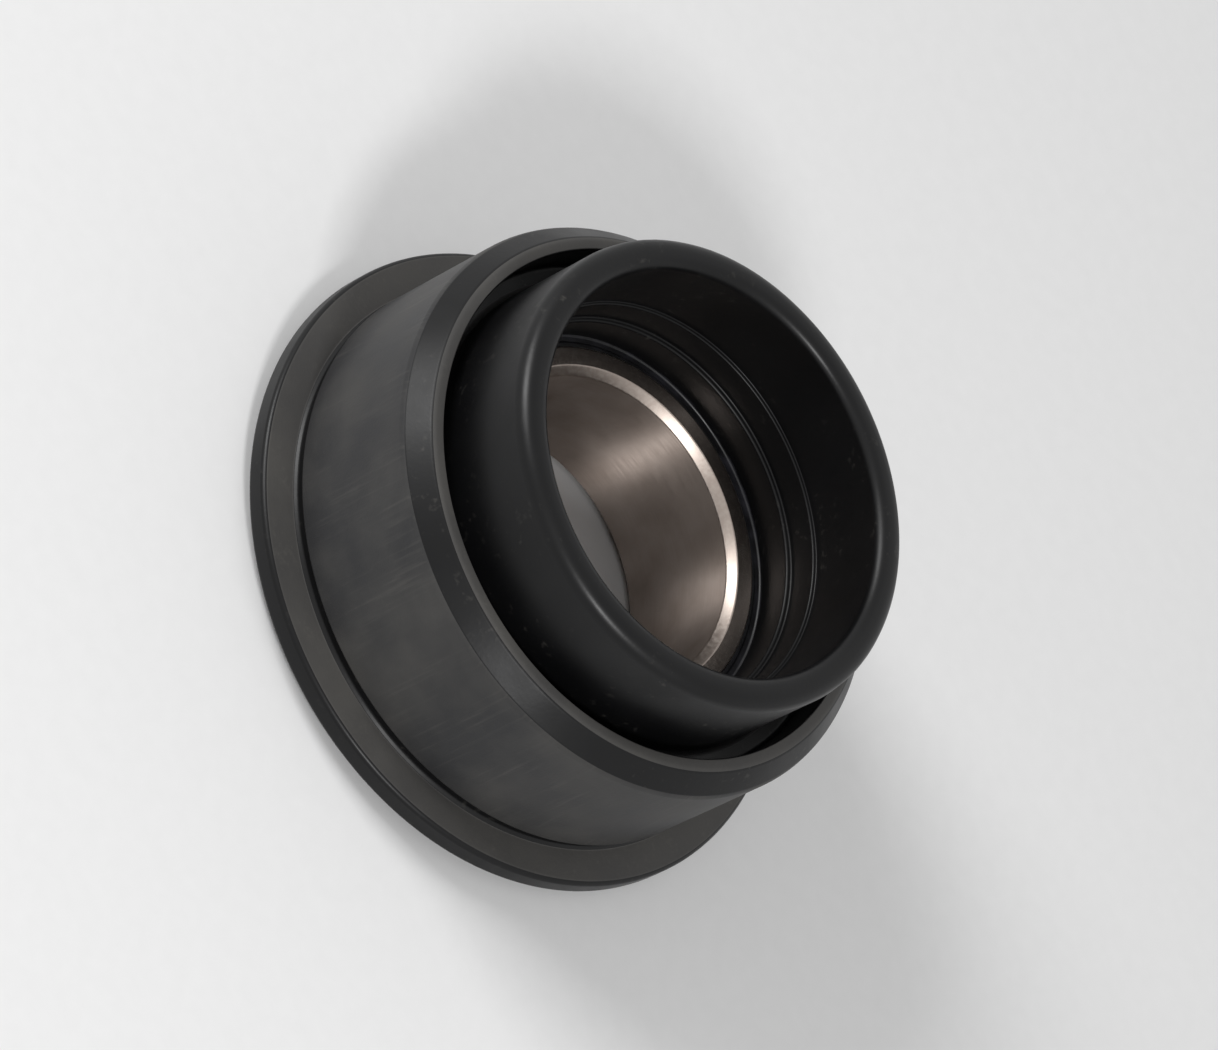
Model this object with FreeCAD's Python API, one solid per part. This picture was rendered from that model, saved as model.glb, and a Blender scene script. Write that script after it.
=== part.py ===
# Press-fit bottom bracket cup with its sealed ball bearing and a stepped bore for the thin spindle end.
# Millimetres. The bearing's axis is Z. Z = 0 is the outboard face of the inner race, and +Z points
# inboard, into the frame's shell. Radii are measured from the axis.
import FreeCAD, Part
import os

# Moulded cup, built outwards from the bearing: the walls below bring its barrel to 41 mm
cup_wall = 2.0
barrel_length = 13.5
flange_overhang = 2.5
flange_thickness = 1.8
flange_edge_round = 0.45
relief_groove_width = 1.0
relief_groove_depth = 0.25
lead_in_length = 1.7
lead_in_depth = 1.4
neck_wall = 2.6
neck_length = 6.7
neck_edge_round = 0.9
neck_mouth_chamfer = 0.35
tube_groove_width = 1.4
tube_groove_depth = 3.2
stop_lip_clearance = 0.8
stop_lip_step = 0.4
stop_lip_length = 2.6
stop_lip_chamfer = 0.25

# Sealed bearing for a 22 mm spindle: what it holds brings the outer race to 37 mm across and 8 mm wide
spindle_bore_diameter = 22.0
race_wall = 1.75
ball_diameter = 3.969
ball_running_clearance = 0.0155
ball_count = 15
outer_race_chamfer = 0.4
inner_race_extension = 3.5
seal_land_step = 0.6
bore_chamfer = 0.6
race_edge_chamfer = 0.25
race_proud_of_flange = 1.1
raceway_depth = 0.85
raceway_openness = 1.04
cage_clearance = 0.3
cage_pocket_clearance = 0.1
cage_floor = 0.4
cage_seal_clearance = 0.2155
cage_horn_rise = 1.1
cage_slot_width = 0.8
cage_slot_depth = 1.6

# Rubber seals with bonded steel cores, one on each side of the balls
seal_recess = 0.3
seal_thickness = 1.0
seal_bead_height = 0.6
seal_bead_bite = 0.4
seal_bead_clearance = 0.02
seal_seat_step = 0.4
seal_lip_clearance = 0.05
seal_lip_length = 0.8
seal_lip_thickness = 0.4
seal_ridge_height = 0.12
seal_ridge_width = 0.35
seal_core_thickness = 0.3
seal_core_margin = 0.35

# Dust shield in the cup's outboard mouth, and the rubber lip that it carries
shield_recess_depth = 1.2
shield_recess_ledge = 1.0
shield_clearance = 0.05
shield_skirt_wall = 1.1
shield_dish = 0.6
shield_wall = 0.9
shield_edge_round = 0.25
lip_holder_width = 1.5
lip_slot_depth = 0.55
lip_wall = 0.35
lip_taper = 0.45

# Stations along the axis
ball_radius = ball_diameter / 2
cage_depth = ball_radius + cage_pocket_clearance + cage_floor
outer_race_width = 2 * (cage_depth + cage_seal_clearance + seal_thickness + seal_recess)
inner_race_width = outer_race_width + inner_race_extension
bearing_inboard = inner_race_width
bearing_outboard = inner_race_extension
ball_plane = (bearing_inboard + bearing_outboard) / 2
flange_outboard = race_proud_of_flange
flange_inboard = flange_outboard + flange_thickness
relief_groove_end = flange_inboard + relief_groove_width
collar_front = flange_inboard + barrel_length
lead_in_start = collar_front - lead_in_length
neck_end = collar_front + neck_length
stop_lip_end = bearing_inboard + stop_lip_length
groove_bottom = collar_front - tube_groove_depth
recess_floor = flange_outboard + shield_recess_depth

# Radii that several pieces share, from the spindle outwards
raceway_radius = ball_radius * raceway_openness
spindle_radius = spindle_bore_diameter / 2
inner_groove_radius = spindle_radius + race_wall
pitch_radius = inner_groove_radius + ball_running_clearance + ball_radius
outer_groove_radius = pitch_radius + ball_radius + ball_running_clearance
pocket_radius = outer_groove_radius + race_wall
barrel_radius = pocket_radius + cup_wall
flange_radius = barrel_radius + flange_overhang
relief_groove_radius = barrel_radius - relief_groove_depth
collar_radius = barrel_radius - lead_in_depth
inner_shoulder_radius = inner_groove_radius + raceway_depth
outer_shoulder_radius = outer_groove_radius - raceway_depth
race_land_radius = inner_shoulder_radius - seal_land_step
seal_seat_radius = outer_shoulder_radius + seal_seat_step
seal_bead_radius = seal_seat_radius + seal_bead_bite
stop_lip_radius = race_land_radius + stop_lip_clearance
neck_bore_radius = stop_lip_radius + stop_lip_step
neck_radius = neck_bore_radius + neck_wall
groove_radius = neck_radius + tube_groove_width
recess_radius = pocket_radius + shield_recess_ledge

EDGE_TOLERANCE = 1e-4
AXIS_ORIGIN = FreeCAD.Vector(0, 0, 0)
AXIS = FreeCAD.Vector(0, 0, 1)


def turned(outline):
    """Solid of revolution about Z from a closed outline of (radius, height) corners."""
    corners = [FreeCAD.Vector(radius, 0, height) for radius, height in outline]
    face = Part.Face(Part.makePolygon(corners + corners[:1]))
    return face.revolve(AXIS_ORIGIN, AXIS, 360)


def corner_circles(shape, radius, height):
    """The round edges of a shape at one radius and height."""
    found = []
    for edge in shape.Edges:
        curve = edge.Curve
        if not isinstance(curve, Part.Circle):
            continue
        same_radius = abs(curve.Radius - radius) < EDGE_TOLERANCE
        if same_radius and abs(curve.Center.z - height) < EDGE_TOLERANCE:
            found.append(edge)
    return found


def rounded(shape, size, *corners):
    """The shape with a fillet on the round edge at each (radius, height) corner."""
    for radius, height in corners:
        shape = shape.makeFillet(size, corner_circles(shape, radius, height))
    return shape


def chamfered(shape, size, *corners):
    """The shape with a 45 degree chamfer on the round edge at each (radius, height) corner."""
    for radius, height in corners:
        shape = shape.makeChamfer(size, corner_circles(shape, radius, height))
    return shape


def flipped(shape):
    """The shape mirrored across the plane of the ball centres."""
    return shape.mirror(FreeCAD.Vector(0, 0, ball_plane), AXIS)


def make_cup():
    """Glass-filled nylon cup: flange, relief groove, press-fit barrel, lead-in, tube groove and neck."""
    body = turned([
        (recess_radius, flange_outboard),
        (flange_radius, flange_outboard),
        (flange_radius, flange_inboard),
        (barrel_radius, flange_inboard),
        (relief_groove_radius, flange_inboard + relief_groove_depth),
        (relief_groove_radius, relief_groove_end - relief_groove_depth),
        (barrel_radius, relief_groove_end),
        (barrel_radius, lead_in_start),
        (collar_radius, collar_front),
        (groove_radius, collar_front),
        (groove_radius, groove_bottom),
        (neck_radius, groove_bottom),
        (neck_radius, neck_end),
        (neck_bore_radius, neck_end),
        (neck_bore_radius, stop_lip_end),
        (stop_lip_radius, stop_lip_end),
        (stop_lip_radius, bearing_inboard),
        (pocket_radius, bearing_inboard),
        (pocket_radius, recess_floor),
        (recess_radius, recess_floor),
    ])
    body = rounded(
        body, flange_edge_round,
        (flange_radius, flange_outboard), (flange_radius, flange_inboard),
    )
    body = rounded(body, neck_edge_round, (neck_radius, neck_end))
    body = chamfered(body, neck_mouth_chamfer, (neck_bore_radius, neck_end))
    return chamfered(body, stop_lip_chamfer, (stop_lip_radius, stop_lip_end))


def seal_seat_outline(face_height, inward):
    """Corners of the stepped seal seat in the outer race, from its face towards the balls."""
    bead_top = face_height + inward * (seal_recess + seal_thickness - seal_bead_height)
    bead_floor = face_height + inward * (seal_recess + seal_thickness)
    return [
        (seal_seat_radius, face_height),
        (seal_seat_radius, bead_top),
        (seal_bead_radius, bead_top),
        (seal_bead_radius, bead_floor),
        (outer_shoulder_radius, bead_floor),
    ]


def make_outer_race():
    """Ground steel outer race with its raceway and a snap-in seat for each seal."""
    inboard_seat = seal_seat_outline(bearing_inboard, -1)
    outboard_seat = seal_seat_outline(bearing_outboard, 1)
    race = turned(
        [(pocket_radius, bearing_outboard), (pocket_radius, bearing_inboard)]
        + inboard_seat
        + outboard_seat[::-1]
    )
    race = chamfered(
        race, outer_race_chamfer,
        (pocket_radius, bearing_outboard), (pocket_radius, bearing_inboard),
    )
    raceway_centre = outer_groove_radius - raceway_radius
    raceway = Part.makeTorus(raceway_centre, raceway_radius, FreeCAD.Vector(0, 0, ball_plane), AXIS)
    return race.cut(raceway)


def make_inner_race():
    """Steel inner race, longer than the outer one on the outboard side."""
    land = seal_recess + seal_thickness
    race = turned([
        (spindle_radius, 0),
        (race_land_radius, 0),
        (race_land_radius, bearing_outboard + land),
        (inner_shoulder_radius, bearing_outboard + land),
        (inner_shoulder_radius, bearing_inboard - land),
        (race_land_radius, bearing_inboard - land),
        (race_land_radius, bearing_inboard),
        (spindle_radius, bearing_inboard),
    ])
    race = chamfered(race, bore_chamfer, (spindle_radius, 0), (spindle_radius, bearing_inboard))
    race = chamfered(race, race_edge_chamfer, (race_land_radius, 0), (race_land_radius, bearing_inboard))
    raceway_centre = inner_groove_radius + raceway_radius
    raceway = Part.makeTorus(raceway_centre, raceway_radius, FreeCAD.Vector(0, 0, ball_plane), AXIS)
    return race.cut(raceway)


def ball_centre(index):
    """Centre of one ball on the pitch circle."""
    turn = FreeCAD.Rotation(AXIS, 360 / ball_count * index)
    return turn.multVec(FreeCAD.Vector(pitch_radius, 0, ball_plane))


def make_ball(index):
    """One hardened steel ball."""
    return Part.makeSphere(ball_radius, ball_centre(index))


def make_cage():
    """Moulded crown cage: a ring with open pockets whose horns, split by slots, snap round the balls."""
    pocket = ball_radius + cage_pocket_clearance
    inner = inner_shoulder_radius + cage_clearance
    outer = outer_shoulder_radius - cage_clearance
    bottom = ball_plane - cage_depth
    top = ball_plane + cage_horn_rise
    cage = turned([(inner, bottom), (outer, bottom), (outer, top), (inner, top)])
    half_step = 180 / ball_count
    inside = pitch_radius / 2
    pocket_start = FreeCAD.Vector(inside, 0, ball_plane)
    slot_start = FreeCAD.Vector(inside, -cage_slot_width / 2, top - cage_slot_depth)
    tools = []
    for index in range(ball_count):
        hole = Part.makeCylinder(pocket, pitch_radius, pocket_start, FreeCAD.Vector(1, 0, 0))
        hole.rotate(AXIS_ORIGIN, AXIS, 2 * half_step * index)
        slot = Part.makeBox(pitch_radius, cage_slot_width, pocket, slot_start)
        slot.rotate(AXIS_ORIGIN, AXIS, half_step * (2 * index + 1))
        tools += [hole, slot]
    return cage.cut(tools)


def seal_stations():
    """Heights of the inboard seal: outer face, lip's inner side, bead's top and inner face."""
    outer_face = bearing_inboard - seal_recess
    inner_face = outer_face - seal_thickness
    return outer_face, outer_face - seal_lip_thickness, inner_face + seal_bead_height, inner_face


def seal_core_radii():
    """Inner and outer radius of the steel core."""
    inner = inner_shoulder_radius + seal_core_margin
    return inner, outer_shoulder_radius - seal_bead_clearance


def make_inboard_seal():
    """Rubber seal: bead held in the outer race, ridged face and a lip on the inner race's land."""
    outer_face, lip_back, bead_top, inner_face = seal_stations()
    lip_radius = race_land_radius + seal_lip_clearance
    core_inner, core_outer = seal_core_radii()
    core_top = inner_face + seal_core_thickness
    web_radius = lip_radius + seal_lip_length
    bead_radius = seal_bead_radius - seal_bead_clearance
    seat_radius = seal_seat_radius - seal_bead_clearance
    bead_upper = bead_top - seal_bead_clearance
    ridge_middle = (web_radius + seat_radius) / 2
    half_ridge = seal_ridge_width / 2
    return turned([
        (lip_radius, outer_face),
        (lip_radius + seal_ridge_width, outer_face),
        (lip_radius + seal_ridge_width, outer_face - seal_ridge_height),
        (ridge_middle - half_ridge, outer_face - seal_ridge_height),
        (ridge_middle, outer_face),
        (ridge_middle + half_ridge, outer_face - seal_ridge_height),
        (seat_radius - seal_ridge_width, outer_face - seal_ridge_height),
        (seat_radius - seal_ridge_width, outer_face),
        (seat_radius, outer_face),
        (seat_radius, bead_upper),
        (bead_radius, bead_upper),
        (bead_radius, inner_face),
        (core_outer, inner_face),
        (core_outer, core_top),
        (core_inner, core_top),
        (core_inner, lip_back),
        (lip_radius, lip_back),
    ])


def make_inboard_seal_core():
    """Thin steel washer bonded into the seal's inner side."""
    inner_face = seal_stations()[3]
    core_inner, core_outer = seal_core_radii()
    core_top = inner_face + seal_core_thickness
    return turned([
        (core_inner, inner_face),
        (core_outer, inner_face),
        (core_outer, core_top),
        (core_inner, core_top),
    ])


def make_dust_shield():
    """Moulded ring that closes the cup's outboard mouth, dished outwards towards the spindle."""
    rim_radius = recess_radius - shield_clearance
    skirt_radius = pocket_radius - shield_clearance
    skirt_inner = skirt_radius - shield_skirt_wall
    skirt_end = bearing_outboard - shield_clearance
    holder_radius = race_land_radius + lip_holder_width
    dish_radius = (holder_radius + skirt_inner) / 2
    dish_face = flange_outboard - shield_dish
    shield = turned([
        (holder_radius, dish_face),
        (dish_radius, dish_face),
        (skirt_inner, flange_outboard),
        (rim_radius, flange_outboard),
        (rim_radius, recess_floor),
        (skirt_radius, recess_floor),
        (skirt_radius, skirt_end),
        (skirt_inner, skirt_end),
        (skirt_inner, flange_outboard + shield_wall),
        (dish_radius, dish_face + shield_wall),
        (holder_radius, dish_face + shield_wall),
    ])
    return rounded(shield, shield_edge_round, (dish_radius, dish_face))


def make_shield_lip():
    """Rubber ring clipped on the shield's inner edge, with a lip that runs on the inner race."""
    holder_radius = race_land_radius + lip_holder_width
    outer_radius = holder_radius + lip_slot_depth
    lip_radius = race_land_radius + seal_lip_clearance
    front = flange_outboard - shield_dish
    back = front + shield_wall
    return turned([
        (lip_radius, front + lip_taper),
        (holder_radius - lip_wall, front - lip_wall + lip_taper),
        (holder_radius, front),
        (holder_radius, back),
        (outer_radius, back),
        (outer_radius, back + lip_wall),
        (holder_radius - lip_wall, back + lip_wall),
        (lip_radius, front + 2 * lip_taper),
    ])


def build():
    """Every piece, by the name of its node."""
    seal = make_inboard_seal()
    core = make_inboard_seal_core()
    pieces = {
        "cup_body": make_cup(),
        "outer_race": make_outer_race(),
        "inner_race": make_inner_race(),
        "ball_cage": make_cage(),
        "inboard_seal": seal,
        "inboard_seal_core": core,
        "outboard_seal": flipped(seal),
        "outboard_seal_core": flipped(core),
        "dust_shield": make_dust_shield(),
        "shield_lip": make_shield_lip(),
    }
    for index in range(ball_count):
        pieces[f"ball_{index + 1:02d}"] = make_ball(index)
    return pieces


os.makedirs("parts", exist_ok=True)
for name, shape in build().items():
    shape.exportStep(f"parts/{name}.step")
    print(name, "valid" if shape.isValid() else "NOT VALID", round(shape.Volume, 2), len(shape.Solids))
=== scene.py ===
"""Finish of a press-fit bottom bracket cup: turned pieces, their materials, and the studio.

Every piece is a body of revolution about Z, the bearing's axis, in metres. Z = 0 is the outboard end of
the inner race, and +Z points inboard. Outlines are lists of corners (radius, height, rounding).
"""

import math

import bmesh
import bpy
from mathutils import Matrix, Vector


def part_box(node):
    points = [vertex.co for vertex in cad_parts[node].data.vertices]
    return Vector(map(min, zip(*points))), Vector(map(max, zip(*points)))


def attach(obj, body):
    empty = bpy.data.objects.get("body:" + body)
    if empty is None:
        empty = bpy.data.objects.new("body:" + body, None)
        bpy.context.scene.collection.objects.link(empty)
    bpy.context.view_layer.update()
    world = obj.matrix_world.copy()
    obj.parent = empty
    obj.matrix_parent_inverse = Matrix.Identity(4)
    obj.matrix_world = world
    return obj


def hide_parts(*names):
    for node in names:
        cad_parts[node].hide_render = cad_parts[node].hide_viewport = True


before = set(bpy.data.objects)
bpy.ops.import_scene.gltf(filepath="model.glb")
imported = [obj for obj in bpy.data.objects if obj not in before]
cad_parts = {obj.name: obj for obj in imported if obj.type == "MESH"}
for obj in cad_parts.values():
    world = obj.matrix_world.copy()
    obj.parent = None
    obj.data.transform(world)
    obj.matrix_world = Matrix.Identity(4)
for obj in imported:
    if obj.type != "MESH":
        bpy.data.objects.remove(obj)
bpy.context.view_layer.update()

bl_info = {
    "name": "Bottom Bracket Cup",
    "version": (1, 0, 0),
    "blender": (4, 5, 0),
    "location": "View3D > Sidebar > Bearing Cup",
    "description": "Models and finishes a press-fit bottom bracket cup with its sealed bearing",
    "category": "Object",
}

AXIS = (0.0, 0.0, 1.0)
CENTRE = (0.0, 0.0, 0.0)
MERGE_DISTANCE = 1e-7
SHARP_ANGLE = math.radians(28)
LARGE_RING_STEPS = 288
SMALL_RING_STEPS = 256
BALL_MERIDIAN_STEPS = 24
BALL_RING_STEPS = 48
# How far a face's normal leans towards the axis, as the Z of a unit normal.
FLAT_FACE = 0.97
# Faces at least this upright get the paler nylon: partly wear, partly painted light from the lamps above.
WORN_AND_LIT_FACE = 0.9
CHAMFER_FACE = 0.3
# Light of the room on the object. The camera, glass and metal see the room at a strength of 1.
ROOM_LIGHT = 0.42
# Soft lamps: place, side and power in metres and watts.
KEY_SOFTBOX = ((-0.46, -0.13, 0.29), 0.22, 2.05)
BORE_SOFTBOX = ((0.21, -0.32, 0.33), 0.08, 1.05)
BALL_NODES = sorted(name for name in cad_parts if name.startswith("ball_") and name != "ball_cage")


def mm(value):
    """Millimetres as metres."""
    return value / 1000


def node_span(name):
    """Outer radius, lowest and highest point of a turned CAD node."""
    low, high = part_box(name)
    return high.x, low.z, high.z


CUP_RADIUS, CUP_LOW, CUP_HIGH = node_span("cup_body")
RACE_RADIUS, RACE_LOW, RACE_HIGH = node_span("inner_race")
SEAL_RADIUS, SEAL_LOW, SEAL_HIGH = node_span("inboard_seal")
OUTER_SEAL_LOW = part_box("outboard_seal")[0].z
SHIELD_RADIUS, SHIELD_LOW, SHIELD_HIGH = node_span("dust_shield")
LIP_RADIUS, LIP_LOW, LIP_HIGH = node_span("shield_lip")
POCKET_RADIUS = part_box("outer_race")[1].x


def length(name, description, default):
    """A size that the user can change."""
    return bpy.props.FloatProperty(
        name=name, description=description, default=default, min=0, unit="LENGTH", precision=5
    )


def factor(name, description, default):
    """A share from 0 to 1 that the user can change."""
    return bpy.props.FloatProperty(
        name=name, description=description, default=default, min=0, max=1, subtype="FACTOR"
    )


def linear_from_hex(code):
    """Linear colour with alpha from an sRGB hex code."""
    channels = [int(code[i : i + 2], 16) / 255 for i in (1, 3, 5)]
    linear = [c / 12.92 if c <= 0.04045 else ((c + 0.055) / 1.055) ** 2.4 for c in channels]
    return (*linear, 1.0)


def tint(name, description, code):
    """A linear colour that the user can change, from its sRGB hex code."""
    return bpy.props.FloatVectorProperty(
        name=name, description=description, default=linear_from_hex(code), size=4, min=0, max=1,
        subtype="COLOR",
    )


class CupSizes(bpy.types.PropertyGroup):
    """Sizes of the moulded cup"""

    flange_radius: length("Flange radius", "Outer radius of the flange", CUP_RADIUS)
    flange_outboard: length("Flange outboard face", "Height of the flange's outboard face", CUP_LOW)
    rim: length("Neck rim", "Height of the neck's rim", CUP_HIGH)
    flange_thickness: length("Flange thickness", "Thickness of the flange", mm(1.8))
    flange_round: length("Flange rounding", "Rounding of the flange's outer edges", mm(0.4))
    barrel_radius: length("Barrel radius", "Radius of the press-fit barrel", mm(20.5))
    barrel_length: length("Barrel length", "Barrel with its lead-in", mm(13.5))
    relief_depth: length("Relief depth", "Depth of the relief at the barrel's root", mm(0.25))
    relief_width: length("Relief width", "Width of the relief at the barrel's root", mm(1.0))
    lead_in_length: length("Lead-in length", "Length of the tapered lead-in", mm(1.7))
    lead_in_depth: length("Lead-in depth", "Radial depth of the lead-in", mm(1.4))
    lead_in_round: length("Lead-in rounding", "Rounding of the lead-in's edges", mm(0.3))
    groove_radius: length("Groove radius", "Outer radius of the groove round the neck", mm(18.2))
    groove_depth: length("Groove depth", "Depth of the groove round the neck", mm(3.2))
    neck_radius: length("Neck radius", "Outer radius of the neck", mm(16.8))
    neck_bore: length("Neck bore radius", "Inner radius of the neck", mm(14.2))
    neck_step: length("Neck bore step", "Radial step inside the neck, level with the collar", mm(0.3))
    neck_round: length("Rim rounding", "Rounding of the rim's outer edge", mm(1.1))
    mouth_round: length("Mouth rounding", "Rounding of the rim's inner edge", mm(0.8))
    stop_radius: length("Stop lip radius", "Inner radius of the lip that stops the bearing", mm(13.8))
    stop_length: length("Stop lip length", "Length of the lip that stops the bearing", mm(2.6))
    pocket_ledge: length("Pocket ledge", "Radial width of the ledge for the dust shield", mm(1.0))
    pocket_depth: length("Ledge depth", "Depth of the ledge for the dust shield", mm(1.2))


class BearingSizes(bpy.types.PropertyGroup):
    """Sizes of the bearing's races, balls and seals"""

    bore: length("Bore radius", "Radius of the spindle's bore", mm(11.0))
    land: length("Land radius", "Radius on which the seal lips run", RACE_RADIUS - mm(0.6))
    shoulder: length("Shoulder radius", "Radius of the inner race beside its raceway", RACE_RADIUS)
    bore_chamfer: length("Bore chamfer", "Chamfer at each end of the bore", mm(0.6))
    edge_round: length("Edge rounding", "Rounding of the ground edges", mm(0.2))
    seal_recess: length("Seal recess", "Depth of a seal's face below the race's face", mm(0.3))
    seal_width: length("Seal width", "Thickness of a seal", mm(1.0))
    raceway_depth: length("Raceway depth", "Depth of the raceway below its shoulder", mm(0.85))
    lip_gap: length("Lip gap", "Gap between a seal's lip and its land", mm(0.05))
    lip_thickness: length("Lip thickness", "Thickness of a seal's lip", mm(0.4))
    seat: length("Seal seat radius", "Outer radius of a seal's visible face", SEAL_RADIUS - mm(0.4))
    bead_height: length("Bead height", "Height of the bead that snaps into the outer race", mm(0.58))
    core_inner: length("Core inner radius", "Inner radius of a seal's steel core", mm(13.95))
    core_outer: length("Core outer radius", "Outer radius of a seal's steel core", mm(15.88))
    core_thickness: length("Core thickness", "Thickness of a seal's steel core", mm(0.3))
    groove_depth: length("Face groove depth", "Depth of the grooves in a seal's face", mm(0.12))


class ShieldSizes(bpy.types.PropertyGroup):
    """Sizes of the dust shield and of its rubber lip"""

    skirt: length("Skirt radius", "Outer radius of the shield's skirt", POCKET_RADIUS - mm(0.05))
    skirt_wall: length("Skirt wall", "Thickness of the skirt", mm(1.1))
    wall: length("Shield wall", "Thickness of the dished wall", mm(0.9))
    holder: length("Lip seat radius", "Radius at which the rubber lip is held", mm(14.5))
    lip_wall: length("Lip wall", "Thickness of the rubber lip", mm(0.35))


class Finishes(bpy.types.PropertyGroup):
    """Colours and smoothness of the materials"""

    barrel: tint("Barrel nylon", "Scuffed face of the press-fit barrel", "#2c2c2d")
    # Paler nylon for faces turned up: partly wear, partly painted light standing in for the lamps' light on
    # them.
    worn: tint("Worn and painted lit nylon", "Faces of flange and collar: wear, and painted light from above", "#434241")
    moulded: tint("Moulded nylon", "Glossier skin of neck and flange", "#0b0b0c")
    scuff: tint("Scuff", "Pale dust and scuffs on the nylon", "#5b5955")
    steel: tint("Bearing steel", "Ground chrome steel", "#a3978f")
    oil: tint("Oiled steel", "Brownish oil film on the steel", "#71645b")
    bright: tint("Bright steel", "Freshly lapped or turned steel", "#beb8b0")
    rubber: tint("Nitrile rubber", "Black seals", "#141416")
    bloom: tint("Rubber bloom", "Grey bloom on the seals", "#3a3a42")
    shield: tint("Shield acetal", "Dust shield", "#232325")
    cage: tint("Cage nylon", "Natural nylon of the ball cage", "#d8cfb4")
    cage_shade: tint("Cage shade", "Darker clouds in the cage's nylon", "#c2b48f")
    core: tint("Seal core steel", "Cold-rolled steel washers", "#9c9a97")
    floor: tint("Studio floor", "Pale floor", "#eeeeee")
    fibre: tint("Floor fibres", "Slightly darker fibres in the floor's paper", "#e6e6e6")
    barrel_roughness: factor("Barrel roughness", "Roughness of the barrel", 0.5)
    moulded_roughness: factor("Moulded roughness", "Roughness of neck and flange", 0.36)
    steel_roughness: factor("Steel roughness", "Roughness of the ground steel", 0.6)


class Studio(bpy.types.PropertyGroup):
    """Camera and lamps"""

    elevation: bpy.props.FloatProperty(
        name="Camera elevation", description="Camera's height above the floor", default=math.radians(44.4),
        subtype="ANGLE",
    )
    roll: bpy.props.FloatProperty(
        name="Camera roll", description="Turn of the camera about its view", default=math.radians(63.3),
        subtype="ANGLE",
    )
    distance: length("Camera distance", "From the camera to the object's middle", 0.55)
    field: length("Field of view", "Width that the camera sees at the object's middle", 0.083)


# Mesh tools


def ring_outline(bm, corners, round_steps):
    """A closed outline in the XZ plane, with each corner rounded by its third value."""
    points = [bm.verts.new((radius, 0, height)) for radius, height, _ in corners]
    for start, end in zip(points, points[1:] + points[:1]):
        bm.edges.new((start, end))
    for point, (_, _, rounding) in zip(points, corners):
        if rounding > 0:
            bmesh.ops.bevel(
                bm, geom=[point], offset=rounding, offset_type="OFFSET", segments=round_steps, profile=0.5,
                affect="VERTICES", material=-1, clamp_overlap=False,
            )


def close_and_shade(bm):
    """Merges doubles, turns faces outwards, and shades smooth with sharp corners kept."""
    bmesh.ops.remove_doubles(bm, verts=bm.verts, dist=MERGE_DISTANCE)
    bmesh.ops.recalc_face_normals(bm, faces=bm.faces)
    for face in bm.faces:
        face.smooth = True
    for edge in bm.edges:
        edge.smooth = edge.calc_face_angle(0) < SHARP_ANGLE


def add_piece(name, bm, body, replaced, materials):
    """Links a finished mesh as a piece that rides on a body and stands for a CAD node."""
    mesh = bpy.data.meshes.new(name)
    bm.to_mesh(mesh)
    bm.free()
    piece = bpy.data.objects.new(name, mesh)
    bpy.context.scene.collection.objects.link(piece)
    for material in materials:
        mesh.materials.append(material)
    weighted = piece.modifiers.new("Weighted normals", "WEIGHTED_NORMAL")
    weighted.keep_sharp = True
    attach(piece, body)
    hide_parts(replaced)
    return piece


def turned_bmesh(corners, steps, round_steps=5):
    """A closed ring turned from an outline."""
    bm = bmesh.new()
    ring_outline(bm, corners, round_steps)
    bmesh.ops.spin(
        bm, geom=bm.verts[:] + bm.edges[:], cent=CENTRE, axis=AXIS, dvec=CENTRE, angle=math.tau, steps=steps,
        use_merge=True, use_duplicate=False,
    )
    close_and_shade(bm)
    return bm


# Material tools


def add_node(tree, kind, inputs=None, **settings):
    """Adds a node with its settings. Each input is a socket to link or a value to keep."""
    node = tree.nodes.new(kind)
    for name, value in settings.items():
        setattr(node, name, value)
    for key, value in (inputs or {}).items():
        if isinstance(value, bpy.types.NodeSocket):
            tree.links.new(value, node.inputs[key])
        else:
            node.inputs[key].default_value = value
    return node.outputs


def new_material(name):
    """An empty node material, its node tree and the piece's own coordinates."""
    material = bpy.data.materials.new(name)
    material.use_nodes = True
    tree = material.node_tree
    tree.nodes.clear()
    return material, tree, add_node(tree, "ShaderNodeTexCoord")["Object"]


def finish_material(tree, surface):
    """Adds the Principled shader with its inputs, and shows it."""
    shader = add_node(tree, "ShaderNodeBsdfPrincipled", surface)
    add_node(tree, "ShaderNodeOutputMaterial", {"Surface": shader["BSDF"]})


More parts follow.
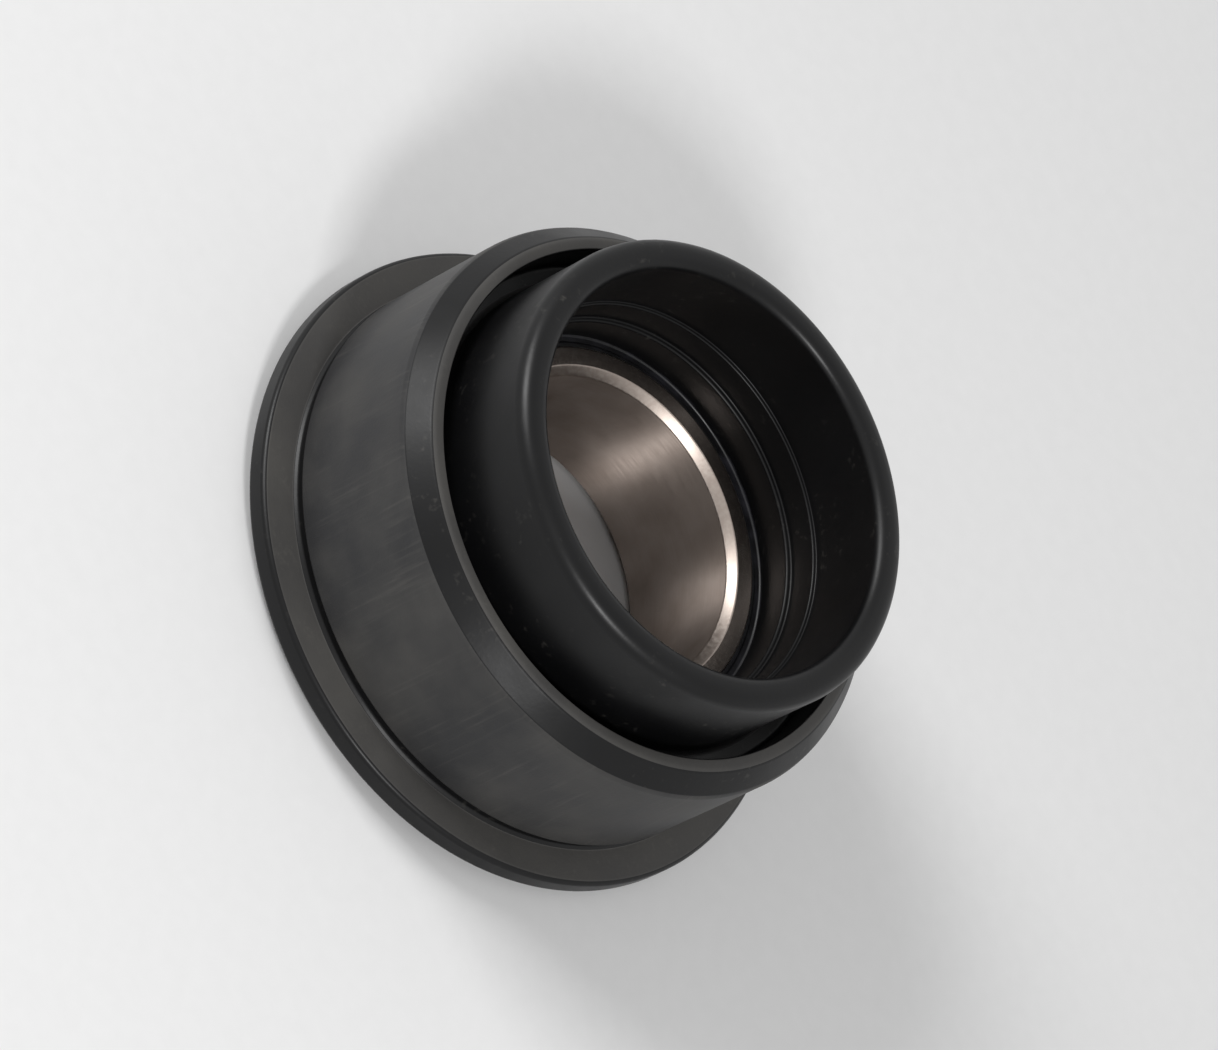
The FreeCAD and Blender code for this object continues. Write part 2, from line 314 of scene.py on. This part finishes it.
def scuffed_nylon(finishes, name, base):
    """Glass-filled nylon 66, moulded, then rubbed grey by the shell it was pressed into.

    The eye sees a matte dark grey with cloudy patches and fine rub marks along the barrel. The faces that
    bear on other parts get a paler base: partly wear, partly painted light, as these faces turn up to the
    lamps.
    The glass grain is about 0.02 mm, and is drawn at 0.22 mm, so that it shows.
    """
    material, tree, place = new_material(name)
    clouds = add_node(tree, "ShaderNodeTexNoise", {"Vector": place, "Scale": 1 / mm(6), "Detail": 5.0})["Fac"]
    grain = add_node(
        tree, "ShaderNodeTexNoise", {"Vector": place, "Scale": 1 / mm(0.22), "Detail": 3.0}
    )["Fac"]
    drawn_out = add_node(tree, "ShaderNodeMapping", {"Vector": place, "Scale": (1, 1, 0.3)})["Vector"]
    smears = add_node(
        tree, "ShaderNodeTexNoise", {"Vector": drawn_out, "Scale": 1 / mm(2.5), "Detail": 4.0}
    )["Fac"]
    along = add_node(tree, "ShaderNodeMapping", {"Vector": place, "Scale": (1, 1, 0.05)})["Vector"]
    rubs = add_node(
        tree, "ShaderNodeTexNoise", {"Vector": along, "Scale": 1 / mm(0.35), "Detail": 4.0}
    )["Fac"]
    patches = add_node(
        tree, "ShaderNodeMapRange", {"Value": clouds, "From Min": 0.36, "From Max": 0.7, "To Max": 0.35}
    )
    lines = add_node(
        tree, "ShaderNodeMapRange", {"Value": rubs, "From Min": 0.52, "From Max": 0.76, "To Max": 0.3}
    )
    where = add_node(tree, "ShaderNodeMapRange", {"Value": smears, "From Min": 0.45, "From Max": 0.65})
    worn = add_node(tree, "ShaderNodeMath", {0: lines["Result"], 1: where["Result"]}, operation="MULTIPLY")
    dust = add_node(tree, "ShaderNodeMath", {0: patches["Result"], 1: worn["Value"]}, operation="ADD")
    colour = add_node(
        tree, "ShaderNodeMix", {"Factor": dust["Value"], 6: tuple(base), 7: tuple(finishes.scuff)},
        data_type="RGBA",
    )
    rough = finishes.barrel_roughness
    roughness = add_node(
        tree, "ShaderNodeMapRange",
        {"Value": clouds, "From Min": 0.3, "From Max": 0.75, "To Min": rough - 0.06, "To Max": rough + 0.1},
    )
    skin = add_node(tree, "ShaderNodeBump", {"Height": grain, "Distance": mm(0.02), "Strength": 0.5})
    relief = add_node(
        tree, "ShaderNodeBump",
        {"Height": rubs, "Distance": mm(0.02), "Strength": 0.35, "Normal": skin["Normal"]},
    )
    finish_material(tree, {
        "Base Color": colour[2], "Roughness": roughness["Result"], "IOR": 1.53, "Specular IOR Level": 0.22,
        "Normal": relief["Normal"],
    })
    return material


def moulded_nylon(finishes):
    """Glass-filled nylon 66 as moulded: nearly black, with a soft skin gloss.

    Glass fibres about 0.3 mm long, just under the skin, break the gloss into a fine grain. Handling
    leaves thin pale dust.
    """
    material, tree, place = new_material("Glass-filled nylon, moulded")
    clouds = add_node(tree, "ShaderNodeTexNoise", {"Vector": place, "Scale": 1 / mm(5), "Detail": 4.0})["Fac"]
    grain = add_node(
        tree, "ShaderNodeTexNoise", {"Vector": place, "Scale": 1 / mm(0.3), "Detail": 4.0}
    )["Fac"]
    specks = add_node(tree, "ShaderNodeTexNoise", {"Vector": place, "Scale": 1 / mm(0.6)})["Fac"]
    motes = add_node(
        tree, "ShaderNodeMapRange", {"Value": specks, "From Min": 0.62, "From Max": 0.8, "To Max": 0.35}
    )
    where = add_node(tree, "ShaderNodeMapRange", {"Value": clouds, "From Min": 0.45, "From Max": 0.7})
    dust = add_node(tree, "ShaderNodeMath", {0: motes["Result"], 1: where["Result"]}, operation="MULTIPLY")
    colour = add_node(
        tree, "ShaderNodeMix",
        {"Factor": dust["Value"], 6: tuple(finishes.moulded), 7: tuple(finishes.scuff)},
        data_type="RGBA",
    )
    rough = finishes.moulded_roughness
    roughness = add_node(
        tree, "ShaderNodeMapRange",
        {"Value": clouds, "From Min": 0.3, "From Max": 0.7, "To Min": rough - 0.05, "To Max": rough + 0.08},
    )
    relief = add_node(tree, "ShaderNodeBump", {"Height": grain, "Distance": mm(0.012), "Strength": 0.4})
    finish_material(tree, {
        "Base Color": colour[2], "Roughness": roughness["Result"], "IOR": 1.53, "Specular IOR Level": 0.22,
        "Normal": relief["Normal"],
    })
    return material


def ground_steel(finishes):
    """Through-hardened chrome bearing steel, ground round its axis.

    The lines round the bore spread each lamp into a bright stripe along the axis. They are about 0.02 mm
    apart, and are drawn 0.12 mm apart, so that they show.
    """
    material, tree, place = new_material("Chrome bearing steel, ground")
    across = add_node(tree, "ShaderNodeMapping", {"Vector": place, "Scale": (0.05, 0.05, 1)})["Vector"]
    lines = add_node(
        tree, "ShaderNodeTexNoise", {"Vector": across, "Scale": 1 / mm(0.12), "Detail": 3.0}
    )["Fac"]
    stain = add_node(tree, "ShaderNodeTexNoise", {"Vector": place, "Scale": 1 / mm(4), "Detail": 4.0})["Fac"]
    share = add_node(
        tree, "ShaderNodeMapRange", {"Value": stain, "From Min": 0.35, "From Max": 0.7, "To Max": 0.5}
    )
    colour = add_node(
        tree, "ShaderNodeMix", {"Factor": share["Result"], 6: tuple(finishes.steel), 7: tuple(finishes.oil)},
        data_type="RGBA",
    )
    rough = finishes.steel_roughness
    roughness = add_node(
        tree, "ShaderNodeMapRange",
        {"Value": lines, "From Min": 0.3, "From Max": 0.7, "To Min": rough - 0.06, "To Max": rough + 0.08},
    )
    relief = add_node(tree, "ShaderNodeBump", {"Height": lines, "Distance": mm(0.004), "Strength": 0.35})
    round_axis = add_node(tree, "ShaderNodeTangent", direction_type="RADIAL", axis="Z")
    finish_material(tree, {
        "Base Color": colour[2], "Metallic": 1.0, "Roughness": roughness["Result"], "Anisotropic": 1.0,
        "Anisotropic Rotation": 0.25, "Tangent": round_axis["Tangent"], "Normal": relief["Normal"],
    })
    return material


def faced_steel(finishes, name, rough):
    """Chrome bearing steel that isn't ground round the axis: faces lapped to a soft mirror, satin turned
    chamfers, and balls lapped to a mirror with a faint haze.
    """
    material, tree, place = new_material(name)
    haze = add_node(tree, "ShaderNodeTexNoise", {"Vector": place, "Scale": 1 / mm(0.3), "Detail": 3.0})["Fac"]
    share = add_node(
        tree, "ShaderNodeMapRange", {"Value": haze, "From Min": 0.4, "From Max": 0.7, "To Max": 0.3}
    )
    colour = add_node(
        tree, "ShaderNodeMix",
        {"Factor": share["Result"], 6: tuple(finishes.steel), 7: tuple(finishes.bright)},
        data_type="RGBA",
    )
    roughness = add_node(
        tree, "ShaderNodeMapRange",
        {"Value": haze, "From Min": 0.3, "From Max": 0.7, "To Min": rough - 0.04, "To Max": rough + 0.06},
    )
    finish_material(tree, {"Base Color": colour[2], "Metallic": 1.0, "Roughness": roughness["Result"]})
    return material


def pressed_steel(finishes):
    """Cold-rolled steel washers of the seals, with faint rolling grain."""
    material, tree, place = new_material("Cold-rolled steel")
    rolled = add_node(tree, "ShaderNodeMapping", {"Vector": place, "Scale": (1, 0.08, 1)})["Vector"]
    grain = add_node(
        tree, "ShaderNodeTexNoise", {"Vector": rolled, "Scale": 1 / mm(0.2), "Detail": 4.0}
    )["Fac"]
    colour = add_node(
        tree, "ShaderNodeMix", {"Factor": grain, 6: tuple(finishes.core), 7: tuple(finishes.oil)},
        data_type="RGBA",
    )
    roughness = add_node(
        tree, "ShaderNodeMapRange",
        {"Value": grain, "From Min": 0.3, "From Max": 0.7, "To Min": 0.3, "To Max": 0.45},
    )
    finish_material(tree, {"Base Color": colour[2], "Metallic": 1.0, "Roughness": roughness["Result"]})
    return material


def seal_rubber(finishes):
    """Moulded nitrile rubber: black with a low satin sheen and a faint grey bloom.

    The mould's spark-eroded grain is about 0.03 mm, and is drawn at 0.15 mm, so that it shows.
    """
    material, tree, place = new_material("Nitrile rubber, moulded")
    bloom = add_node(
        tree, "ShaderNodeTexNoise", {"Vector": place, "Scale": 1 / mm(1.6), "Detail": 5.0}
    )["Fac"]
    grain = add_node(
        tree, "ShaderNodeTexNoise", {"Vector": place, "Scale": 1 / mm(0.15), "Detail": 3.0}
    )["Fac"]
    share = add_node(
        tree, "ShaderNodeMapRange", {"Value": bloom, "From Min": 0.45, "From Max": 0.75, "To Max": 0.45}
    )
    colour = add_node(
        tree, "ShaderNodeMix",
        {"Factor": share["Result"], 6: tuple(finishes.rubber), 7: tuple(finishes.bloom)},
        data_type="RGBA",
    )
    roughness = add_node(
        tree, "ShaderNodeMapRange",
        {"Value": bloom, "From Min": 0.3, "From Max": 0.7, "To Min": 0.34, "To Max": 0.5},
    )
    relief = add_node(tree, "ShaderNodeBump", {"Height": grain, "Distance": mm(0.01), "Strength": 0.4})
    finish_material(tree, {
        "Base Color": colour[2], "Roughness": roughness["Result"], "IOR": 1.52, "Specular IOR Level": 0.4,
        "Normal": relief["Normal"],
    })
    return material


def shield_acetal(finishes):
    """Turned acetal: satin black with fine rings left by the tool.

    The rings are about 0.1 mm apart, and are drawn 0.3 mm apart, so that they show.
    """
    material, tree, place = new_material("Acetal, turned")
    flat = add_node(tree, "ShaderNodeVectorMath", {0: place, 1: (1, 1, 0)}, operation="MULTIPLY")["Vector"]
    radius = add_node(tree, "ShaderNodeVectorMath", {0: flat}, operation="LENGTH")["Value"]
    rings = add_node(
        tree, "ShaderNodeTexNoise", {"W": radius, "Scale": 1 / mm(0.3), "Detail": 3.0}, noise_dimensions="1D"
    )["Fac"]
    clouds = add_node(tree, "ShaderNodeTexNoise", {"Vector": place, "Scale": 1 / mm(4), "Detail": 4.0})["Fac"]
    share = add_node(
        tree, "ShaderNodeMapRange", {"Value": clouds, "From Min": 0.4, "From Max": 0.75, "To Max": 0.3}
    )
    colour = add_node(
        tree, "ShaderNodeMix",
        {"Factor": share["Result"], 6: tuple(finishes.shield), 7: tuple(finishes.scuff)},
        data_type="RGBA",
    )
    roughness = add_node(
        tree, "ShaderNodeMapRange",
        {"Value": rings, "From Min": 0.3, "From Max": 0.7, "To Min": 0.34, "To Max": 0.46},
    )
    relief = add_node(tree, "ShaderNodeBump", {"Height": rings, "Distance": mm(0.02), "Strength": 0.4})
    finish_material(tree, {
        "Base Color": colour[2], "Roughness": roughness["Result"], "IOR": 1.48, "Normal": relief["Normal"],
    })
    return material


def cage_nylon(finishes):
    """Natural nylon 66, moulded: ivory and slightly translucent."""
    material, tree, place = new_material("Natural nylon, moulded")
    clouds = add_node(tree, "ShaderNodeTexNoise", {"Vector": place, "Scale": 1 / mm(2), "Detail": 4.0})["Fac"]
    share = add_node(
        tree, "ShaderNodeMapRange", {"Value": clouds, "From Min": 0.4, "From Max": 0.7, "To Max": 0.4}
    )
    colour = add_node(
        tree, "ShaderNodeMix",
        {"Factor": share["Result"], 6: tuple(finishes.cage), 7: tuple(finishes.cage_shade)},
        data_type="RGBA",
    )
    roughness = add_node(
        tree, "ShaderNodeMapRange",
        {"Value": clouds, "From Min": 0.3, "From Max": 0.7, "To Min": 0.38, "To Max": 0.5},
    )
    finish_material(tree, {
        "Base Color": colour[2], "Roughness": roughness["Result"], "Subsurface Weight": 0.15,
        "Subsurface Radius": (mm(0.8), mm(0.6), mm(0.4)), "Subsurface Scale": 1.0, "IOR": 1.53,
    })
    return material


# Pieces


class CupOperator(bpy.types.Operator):
    """Models the moulded cup: flange, barrel with relief and lead-in, groove and neck"""

    bl_idname = "bearing_cup.cup"
    bl_label = "Cup"

    def execute(self, context):
        cup, finishes = context.scene.cup_sizes, context.scene.cup_finishes
        flange_front = cup.flange_outboard + cup.flange_thickness
        collar = flange_front + cup.barrel_length
        relief_end = flange_front + cup.relief_width
        relief = cup.barrel_radius - cup.relief_depth
        groove_floor = collar - cup.groove_depth
        stop_low = RACE_HIGH
        stop_high = stop_low + cup.stop_length
        ledge_radius = POCKET_RADIUS + cup.pocket_ledge
        ledge_height = cup.flange_outboard + cup.pocket_depth
        bm = turned_bmesh([
            (ledge_radius, cup.flange_outboard, mm(0.1)),
            (cup.flange_radius, cup.flange_outboard, cup.flange_round),
            (cup.flange_radius, flange_front, cup.flange_round),
            (cup.barrel_radius, flange_front, mm(0.08)),
            (relief, flange_front + cup.relief_depth, mm(0.1)),
            (relief, relief_end - cup.relief_depth, mm(0.1)),
            (cup.barrel_radius, relief_end, mm(0.1)),
            (cup.barrel_radius, collar - cup.lead_in_length, cup.lead_in_round),
            (cup.barrel_radius - cup.lead_in_depth, collar, cup.lead_in_round),
            (cup.groove_radius, collar, mm(0.15)),
            (cup.groove_radius, groove_floor, mm(0.3)),
            (cup.neck_radius, groove_floor, mm(0.4)),
            (cup.neck_radius, cup.rim, cup.neck_round),
            (cup.neck_bore + cup.neck_step, cup.rim, cup.mouth_round),
            (cup.neck_bore + cup.neck_step, collar, mm(0.1)),
            (cup.neck_bore, collar, mm(0.15)),
            (cup.neck_bore, stop_high, mm(0.15)),
            (cup.stop_radius, stop_high, mm(0.2)),
            (cup.stop_radius, stop_low, 0),
            (POCKET_RADIUS, stop_low, 0),
            (POCKET_RADIUS, ledge_height, 0),
            (ledge_radius, ledge_height, 0),
        ], steps=LARGE_RING_STEPS)
        barrel_end = collar - cup.lead_in_length + mm(0.1)
        for face in bm.faces:
            middle = face.calc_center_median()
            outward = middle.x * face.normal.x + middle.y * face.normal.y > 0
            on_barrel = outward and relief_end - mm(0.1) < middle.z < barrel_end
            outside_groove = math.hypot(middle.x, middle.y) > cup.groove_radius
            # Faces turned up towards the lamps get the paler nylon: painted light, partly wear too.
            painted_lit_face = face.normal.z > WORN_AND_LIT_FACE and outside_groove
            if on_barrel:
                face.material_index = 1
            elif painted_lit_face:
                face.material_index = 2
        materials = [
            moulded_nylon(finishes),
            scuffed_nylon(finishes, "Glass-filled nylon, rubbed", finishes.barrel),
            # Paler copy of the rubbed nylon for the upward faces: painted light, partly wear.
            scuffed_nylon(finishes, "Glass-filled nylon, worn and painted lit", finishes.worn),
        ]
        add_piece("cup", bm, "housing", "cup_body", materials)
        return {"FINISHED"}


class InnerRaceOperator(bpy.types.Operator):
    """Models the ground inner race, with its raceway and its chamfered bore"""

    bl_idname = "bearing_cup.inner_race"
    bl_label = "Inner race"

    def execute(self, context):
        bearing, finishes = context.scene.bearing_sizes, context.scene.cup_finishes
        land_depth = bearing.seal_recess + bearing.seal_width
        shoulder_low = OUTER_SEAL_LOW - bearing.seal_recess + land_depth
        shoulder_high = RACE_HIGH - land_depth
        middle = (shoulder_low + shoulder_high) / 2
        raceway_half = mm(1.65)
        bm = turned_bmesh([
            (bearing.bore + bearing.bore_chamfer, RACE_LOW, mm(0.08)),
            (bearing.land, RACE_LOW, bearing.edge_round),
            (bearing.land, shoulder_low, 0),
            (bearing.shoulder, shoulder_low, mm(0.1)),
            (bearing.shoulder, middle - raceway_half, mm(0.05)),
            (bearing.shoulder - bearing.raceway_depth, middle - raceway_half / 2, mm(0.6)),
            (bearing.shoulder - bearing.raceway_depth, middle + raceway_half / 2, mm(0.6)),
            (bearing.shoulder, middle + raceway_half, mm(0.05)),
            (bearing.shoulder, shoulder_high, mm(0.1)),
            (bearing.land, shoulder_high, 0),
            (bearing.land, RACE_HIGH, bearing.edge_round),
            (bearing.bore + bearing.bore_chamfer, RACE_HIGH, mm(0.08)),
            (bearing.bore, RACE_HIGH - bearing.bore_chamfer, mm(0.1)),
            (bearing.bore, RACE_LOW + bearing.bore_chamfer, mm(0.1)),
        ], steps=SMALL_RING_STEPS)
        for face in bm.faces:
            slope = abs(face.normal.z)
            if slope > FLAT_FACE:
                face.material_index = 1
            elif slope > CHAMFER_FACE:
                face.material_index = 2
        materials = [
            ground_steel(finishes),
            faced_steel(finishes, "Chrome bearing steel, lapped face", 0.2),
            faced_steel(finishes, "Chrome bearing steel, turned chamfer", 0.36),
        ]
        add_piece("bearing_inner_race", bm, "spindle_race", "inner_race", materials)
        return {"FINISHED"}


def seal_corners(bearing):
    """Outline of the inboard seal: lip, grooved face, bead and the step for its core."""
    lip = bearing.land + bearing.lip_gap
    groove = SEAL_HIGH - bearing.groove_depth
    bead_top = SEAL_LOW + bearing.bead_height
    core_top = SEAL_LOW + bearing.core_thickness
    return [
        (lip, SEAL_HIGH, mm(0.06)),
        (lip + mm(0.32), SEAL_HIGH, mm(0.1)),
        (lip + mm(0.42), groove, mm(0.06)),
        (lip + mm(0.8), groove, mm(0.06)),
        (lip + mm(0.9), SEAL_HIGH, mm(0.08)),
        (lip + mm(1.3), SEAL_HIGH, mm(0.08)),
        (lip + mm(1.4), groove, mm(0.06)),
        (bearing.seat - mm(1.0), groove, mm(0.06)),
        (bearing.seat - mm(0.85), SEAL_HIGH, mm(0.1)),
        (bearing.seat, SEAL_HIGH, mm(0.1)),
        (bearing.seat, bead_top, 0),
        (SEAL_RADIUS, bead_top, mm(0.12)),
        (SEAL_RADIUS, SEAL_LOW, mm(0.12)),
        (bearing.core_outer, SEAL_LOW, 0),
        (bearing.core_outer, core_top, 0),
        (bearing.core_inner, core_top, 0),
        (bearing.core_inner, SEAL_HIGH - bearing.lip_thickness, mm(0.05)),
        (lip, SEAL_HIGH - bearing.lip_thickness, mm(0.06)),
    ]


class SealsOperator(bpy.types.Operator):
    """Models the two rubber seals, mirrored about the plane of the balls"""

    bl_idname = "bearing_cup.seals"
    bl_label = "Seals"

    def execute(self, context):
        corners = seal_corners(context.scene.bearing_sizes)
        rubber = seal_rubber(context.scene.cup_finishes)
        bm = turned_bmesh(corners, SMALL_RING_STEPS)
        add_piece("seal_inboard", bm, "housing", "inboard_seal", [rubber])
        mirrored = turned_bmesh(corners, SMALL_RING_STEPS)
        mirror_about = SEAL_HIGH + OUTER_SEAL_LOW
        bmesh.ops.transform(mirrored, matrix=Matrix.Scale(-1, 4, AXIS), verts=mirrored.verts)
        bmesh.ops.translate(mirrored, vec=(0, 0, mirror_about), verts=mirrored.verts)
        close_and_shade(mirrored)
        add_piece("seal_outboard", mirrored, "housing", "outboard_seal", [rubber])
        return {"FINISHED"}


class ShieldOperator(bpy.types.Operator):
    """Models the dished dust shield and the rubber lip that it carries"""

    bl_idname = "bearing_cup.shield"
    bl_label = "Dust shield"

    def execute(self, context):
        sizes, finishes = context.scene.shield_sizes, context.scene.cup_finishes
        bearing, cup = context.scene.bearing_sizes, context.scene.cup_sizes
        skirt_inner = sizes.skirt - sizes.skirt_wall
        dish = (sizes.holder + skirt_inner) / 2
        face = cup.flange_outboard
        ledge = face + cup.pocket_depth
        bm = turned_bmesh([
            (sizes.holder, SHIELD_LOW, mm(0.08)),
            (dish, SHIELD_LOW, mm(0.25)),
            (skirt_inner, face, mm(0.25)),
            (SHIELD_RADIUS, face, mm(0.12)),
            (SHIELD_RADIUS, ledge, 0),
            (sizes.skirt, ledge, mm(0.1)),
            (sizes.skirt, SHIELD_HIGH, mm(0.1)),
            (skirt_inner, SHIELD_HIGH, mm(0.1)),
            (skirt_inner, face + sizes.wall, mm(0.2)),
            (dish, SHIELD_LOW + sizes.wall, mm(0.2)),
            (sizes.holder, SHIELD_LOW + sizes.wall, 0),
        ], steps=LARGE_RING_STEPS)
        acetal = shield_acetal(finishes)
        add_piece("dust_shield_ring", bm, "housing", "dust_shield", [acetal])
        lip = bearing.land + bearing.lip_gap
        back = SHIELD_LOW + sizes.wall
        bm = turned_bmesh([
            (lip, LIP_LOW + sizes.lip_wall, mm(0.06)),
            (sizes.holder - sizes.lip_wall, LIP_LOW, mm(0.15)),
            (sizes.holder, SHIELD_LOW, 0),
            (sizes.holder, back, 0),
            (LIP_RADIUS, back, mm(0.08)),
            (LIP_RADIUS, LIP_HIGH, mm(0.1)),
            (sizes.holder - sizes.lip_wall, LIP_HIGH, mm(0.15)),
            (lip, LIP_LOW + mm(0.8), mm(0.06)),
        ], steps=SMALL_RING_STEPS)
        add_piece("dust_lip", bm, "housing", "shield_lip", [seal_rubber(finishes)])
        return {"FINISHED"}


class BallsOperator(bpy.types.Operator):
    """Models the lapped balls, each turned about its own centre"""

    bl_idname = "bearing_cup.balls"
    bl_label = "Balls"

    def execute(self, context):
        steel = faced_steel(context.scene.cup_finishes, "Chrome bearing steel, lapped ball", 0.1)
        for name in BALL_NODES:
            low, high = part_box(name)
            centre = (low + high) / 2
            radius = (high.z - low.z) / 2
            bm = bmesh.new()
            pole = bm.verts.new((0, 0, -radius))
            bmesh.ops.spin(
                bm, geom=[pole], cent=CENTRE, axis=(0, 1, 0), dvec=CENTRE, angle=-math.pi,
                steps=BALL_MERIDIAN_STEPS,
                use_merge=False, use_duplicate=False,
            )
            bmesh.ops.spin(
                bm, geom=bm.verts[:] + bm.edges[:], cent=CENTRE, axis=AXIS, dvec=CENTRE, angle=math.tau,
                steps=BALL_RING_STEPS,
                use_merge=True, use_duplicate=False,
            )
            close_and_shade(bm)
            bmesh.ops.translate(bm, vec=centre, verts=bm.verts)
            add_piece(f"steel_{name}", bm, name, name, [steel])
        return {"FINISHED"}


class HiddenPiecesOperator(bpy.types.Operator):
    """Finishes the pieces sealed inside the bearing: outer race, cage and seal cores"""

    bl_idname = "bearing_cup.hidden"
    bl_label = "Hidden pieces"

    def execute(self, context):
        finishes = context.scene.cup_finishes
        core = pressed_steel(finishes)
        finish_of = {
            "outer_race": ground_steel(finishes),
            "ball_cage": cage_nylon(finishes),
            "inboard_seal_core": core,
            "outboard_seal_core": core,
        }
        for name, material in finish_of.items():
            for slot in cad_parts[name].material_slots:
                slot.material = material
        return {"FINISHED"}


class StudioOperator(bpy.types.Operator):
    """Sets the pale floor, the lamps, the surroundings and the camera"""

    bl_idname = "bearing_cup.studio"
    bl_label = "Studio"

    def execute(self, context):
        scene, studio = context.scene, context.scene.cup_studio
        scene.view_settings.view_transform = "Standard"
        make_floor(scene.cup_finishes)
        make_surroundings(scene)
        back = Vector((0, -math.cos(studio.elevation), math.sin(studio.elevation)))
        level = Vector((1, 0, 0))
        upright = back.cross(level)
        right = level * math.cos(studio.roll) + upright * math.sin(studio.roll)
        up = upright * math.cos(studio.roll) - level * math.sin(studio.roll)
        target = Vector((0, 0, (RACE_LOW + CUP_HIGH) / 2))
        camera = bpy.data.cameras.new("camera")
        camera.lens = camera.sensor_width * studio.distance / studio.field
        camera.clip_start = studio.distance / 10
        holder = bpy.data.objects.new("camera", camera)
        scene.collection.objects.link(holder)
        turn = Matrix((right, up, back)).transposed().to_4x4()
        holder.matrix_world = Matrix.Translation(target + back * studio.distance) @ turn
        scene.camera = holder
        add_softbox("key_softbox", target, *KEY_SOFTBOX)
        add_softbox("bore_softbox", target, *BORE_SOFTBOX)
        return {"FINISHED"}


def make_floor(finishes):
    """A wide pale disc for the object to stand on."""
    bm = bmesh.new()
    bmesh.ops.create_circle(bm, cap_ends=True, segments=64, radius=4)
    mesh = bpy.data.meshes.new("studio_floor")
    bm.to_mesh(mesh)
    bm.free()
    floor = bpy.data.objects.new("studio_floor", mesh)
    bpy.context.scene.collection.objects.link(floor)
    material, tree, place = new_material("Matte studio paper")
    fibres = add_node(
        tree, "ShaderNodeTexNoise", {"Vector": place, "Scale": 1 / mm(1.5), "Detail": 4.0}
    )["Fac"]
    share = add_node(
        tree, "ShaderNodeMapRange", {"Value": fibres, "From Min": 0.3, "From Max": 0.7, "To Max": 0.25}
    )
    colour = add_node(
        tree, "ShaderNodeMix",
        {"Factor": share["Result"], 6: tuple(finishes.floor), 7: tuple(finishes.fibre)},
        data_type="RGBA",
    )
    finish_material(tree, {"Base Color": colour[2], "Roughness": 0.9, "Specular IOR Level": 0.1})
    mesh.materials.append(material)


def make_surroundings(scene):
    """An even pale room, which shows as pale as the floor to the camera, through glass and in metal."""
    world = bpy.data.worlds.new("studio_room")
    world.use_nodes = True
    tree = world.node_tree
    tree.nodes.clear()
    path = add_node(tree, "ShaderNodeLightPath")
    mirrored = add_node(
        tree, "ShaderNodeMath", {0: path["Is Glossy Ray"], 1: path["Is Transmission Ray"]},
        operation="MAXIMUM",
    )
    seen = add_node(
        tree, "ShaderNodeMath", {0: path["Is Camera Ray"], 1: mirrored["Value"]}, operation="MAXIMUM"
    )
    pale = tuple(scene.cup_finishes.floor)
    light = add_node(tree, "ShaderNodeBackground", {"Color": pale, "Strength": ROOM_LIGHT})
    wall = add_node(tree, "ShaderNodeBackground", {"Color": pale, "Strength": 1.0})
    mixed = add_node(
        tree, "ShaderNodeMixShader", {"Fac": seen["Value"], 1: light["Background"], 2: wall["Background"]}
    )
    add_node(tree, "ShaderNodeOutputWorld", {"Surface": mixed["Shader"]})
    scene.world = world


def add_softbox(name, target, place, side, power):
    """A square soft lamp at a place, aimed at the object."""
    light = bpy.data.lights.new(name, "AREA")
    light.shape = "SQUARE"
    light.size = side
    light.energy = power
    lamp = bpy.data.objects.new(name, light)
    bpy.context.scene.collection.objects.link(lamp)
    aim = target - Vector(place)
    lamp.matrix_world = Matrix.Translation(place) @ aim.to_track_quat("-Z", "Y").to_matrix().to_4x4()


class BearingCupPanel(bpy.types.Panel):
    """Lists the pieces, their sizes and their finishes"""

    bl_idname = "VIEW3D_PT_bearing_cup"
    bl_label = "Bearing Cup"
    bl_space_type = "VIEW_3D"
    bl_region_type = "UI"
    bl_category = "Bearing Cup"

    def draw(self, context):
        for operator in OPERATORS:
            self.layout.operator(operator.bl_idname)
        for group in GROUPS:
            box = self.layout.box()
            box.label(text=group.__doc__)
            values = getattr(context.scene, GROUPS[group])
            for name in group.__annotations__:
                box.prop(values, name)


OPERATORS = (
    CupOperator,
    InnerRaceOperator,
    SealsOperator,
    ShieldOperator,
    BallsOperator,
    HiddenPiecesOperator,
    StudioOperator,
)
GROUPS = {
    CupSizes: "cup_sizes",
    BearingSizes: "bearing_sizes",
    ShieldSizes: "shield_sizes",
    Finishes: "cup_finishes",
    Studio: "cup_studio",
}


def register():
    """Registers the classes and hangs the property groups on the scene."""
    for group, name in GROUPS.items():
        bpy.utils.register_class(group)
        setattr(bpy.types.Scene, name, bpy.props.PointerProperty(type=group))
    for operator in OPERATORS:
        bpy.utils.register_class(operator)
    bpy.utils.register_class(BearingCupPanel)


def unregister():
    """Takes back what register did."""
    bpy.utils.unregister_class(BearingCupPanel)
    for operator in OPERATORS:
        bpy.utils.unregister_class(operator)
    for group, name in GROUPS.items():
        delattr(bpy.types.Scene, name)
        bpy.utils.unregister_class(group)


def main():
    """Builds every piece and the studio."""
    register()
    bpy.ops.bearing_cup.cup()
    bpy.ops.bearing_cup.inner_race()
    bpy.ops.bearing_cup.seals()
    bpy.ops.bearing_cup.shield()
    bpy.ops.bearing_cup.balls()
    bpy.ops.bearing_cup.hidden()
    bpy.ops.bearing_cup.studio()


if __name__ == "__main__":
    main()
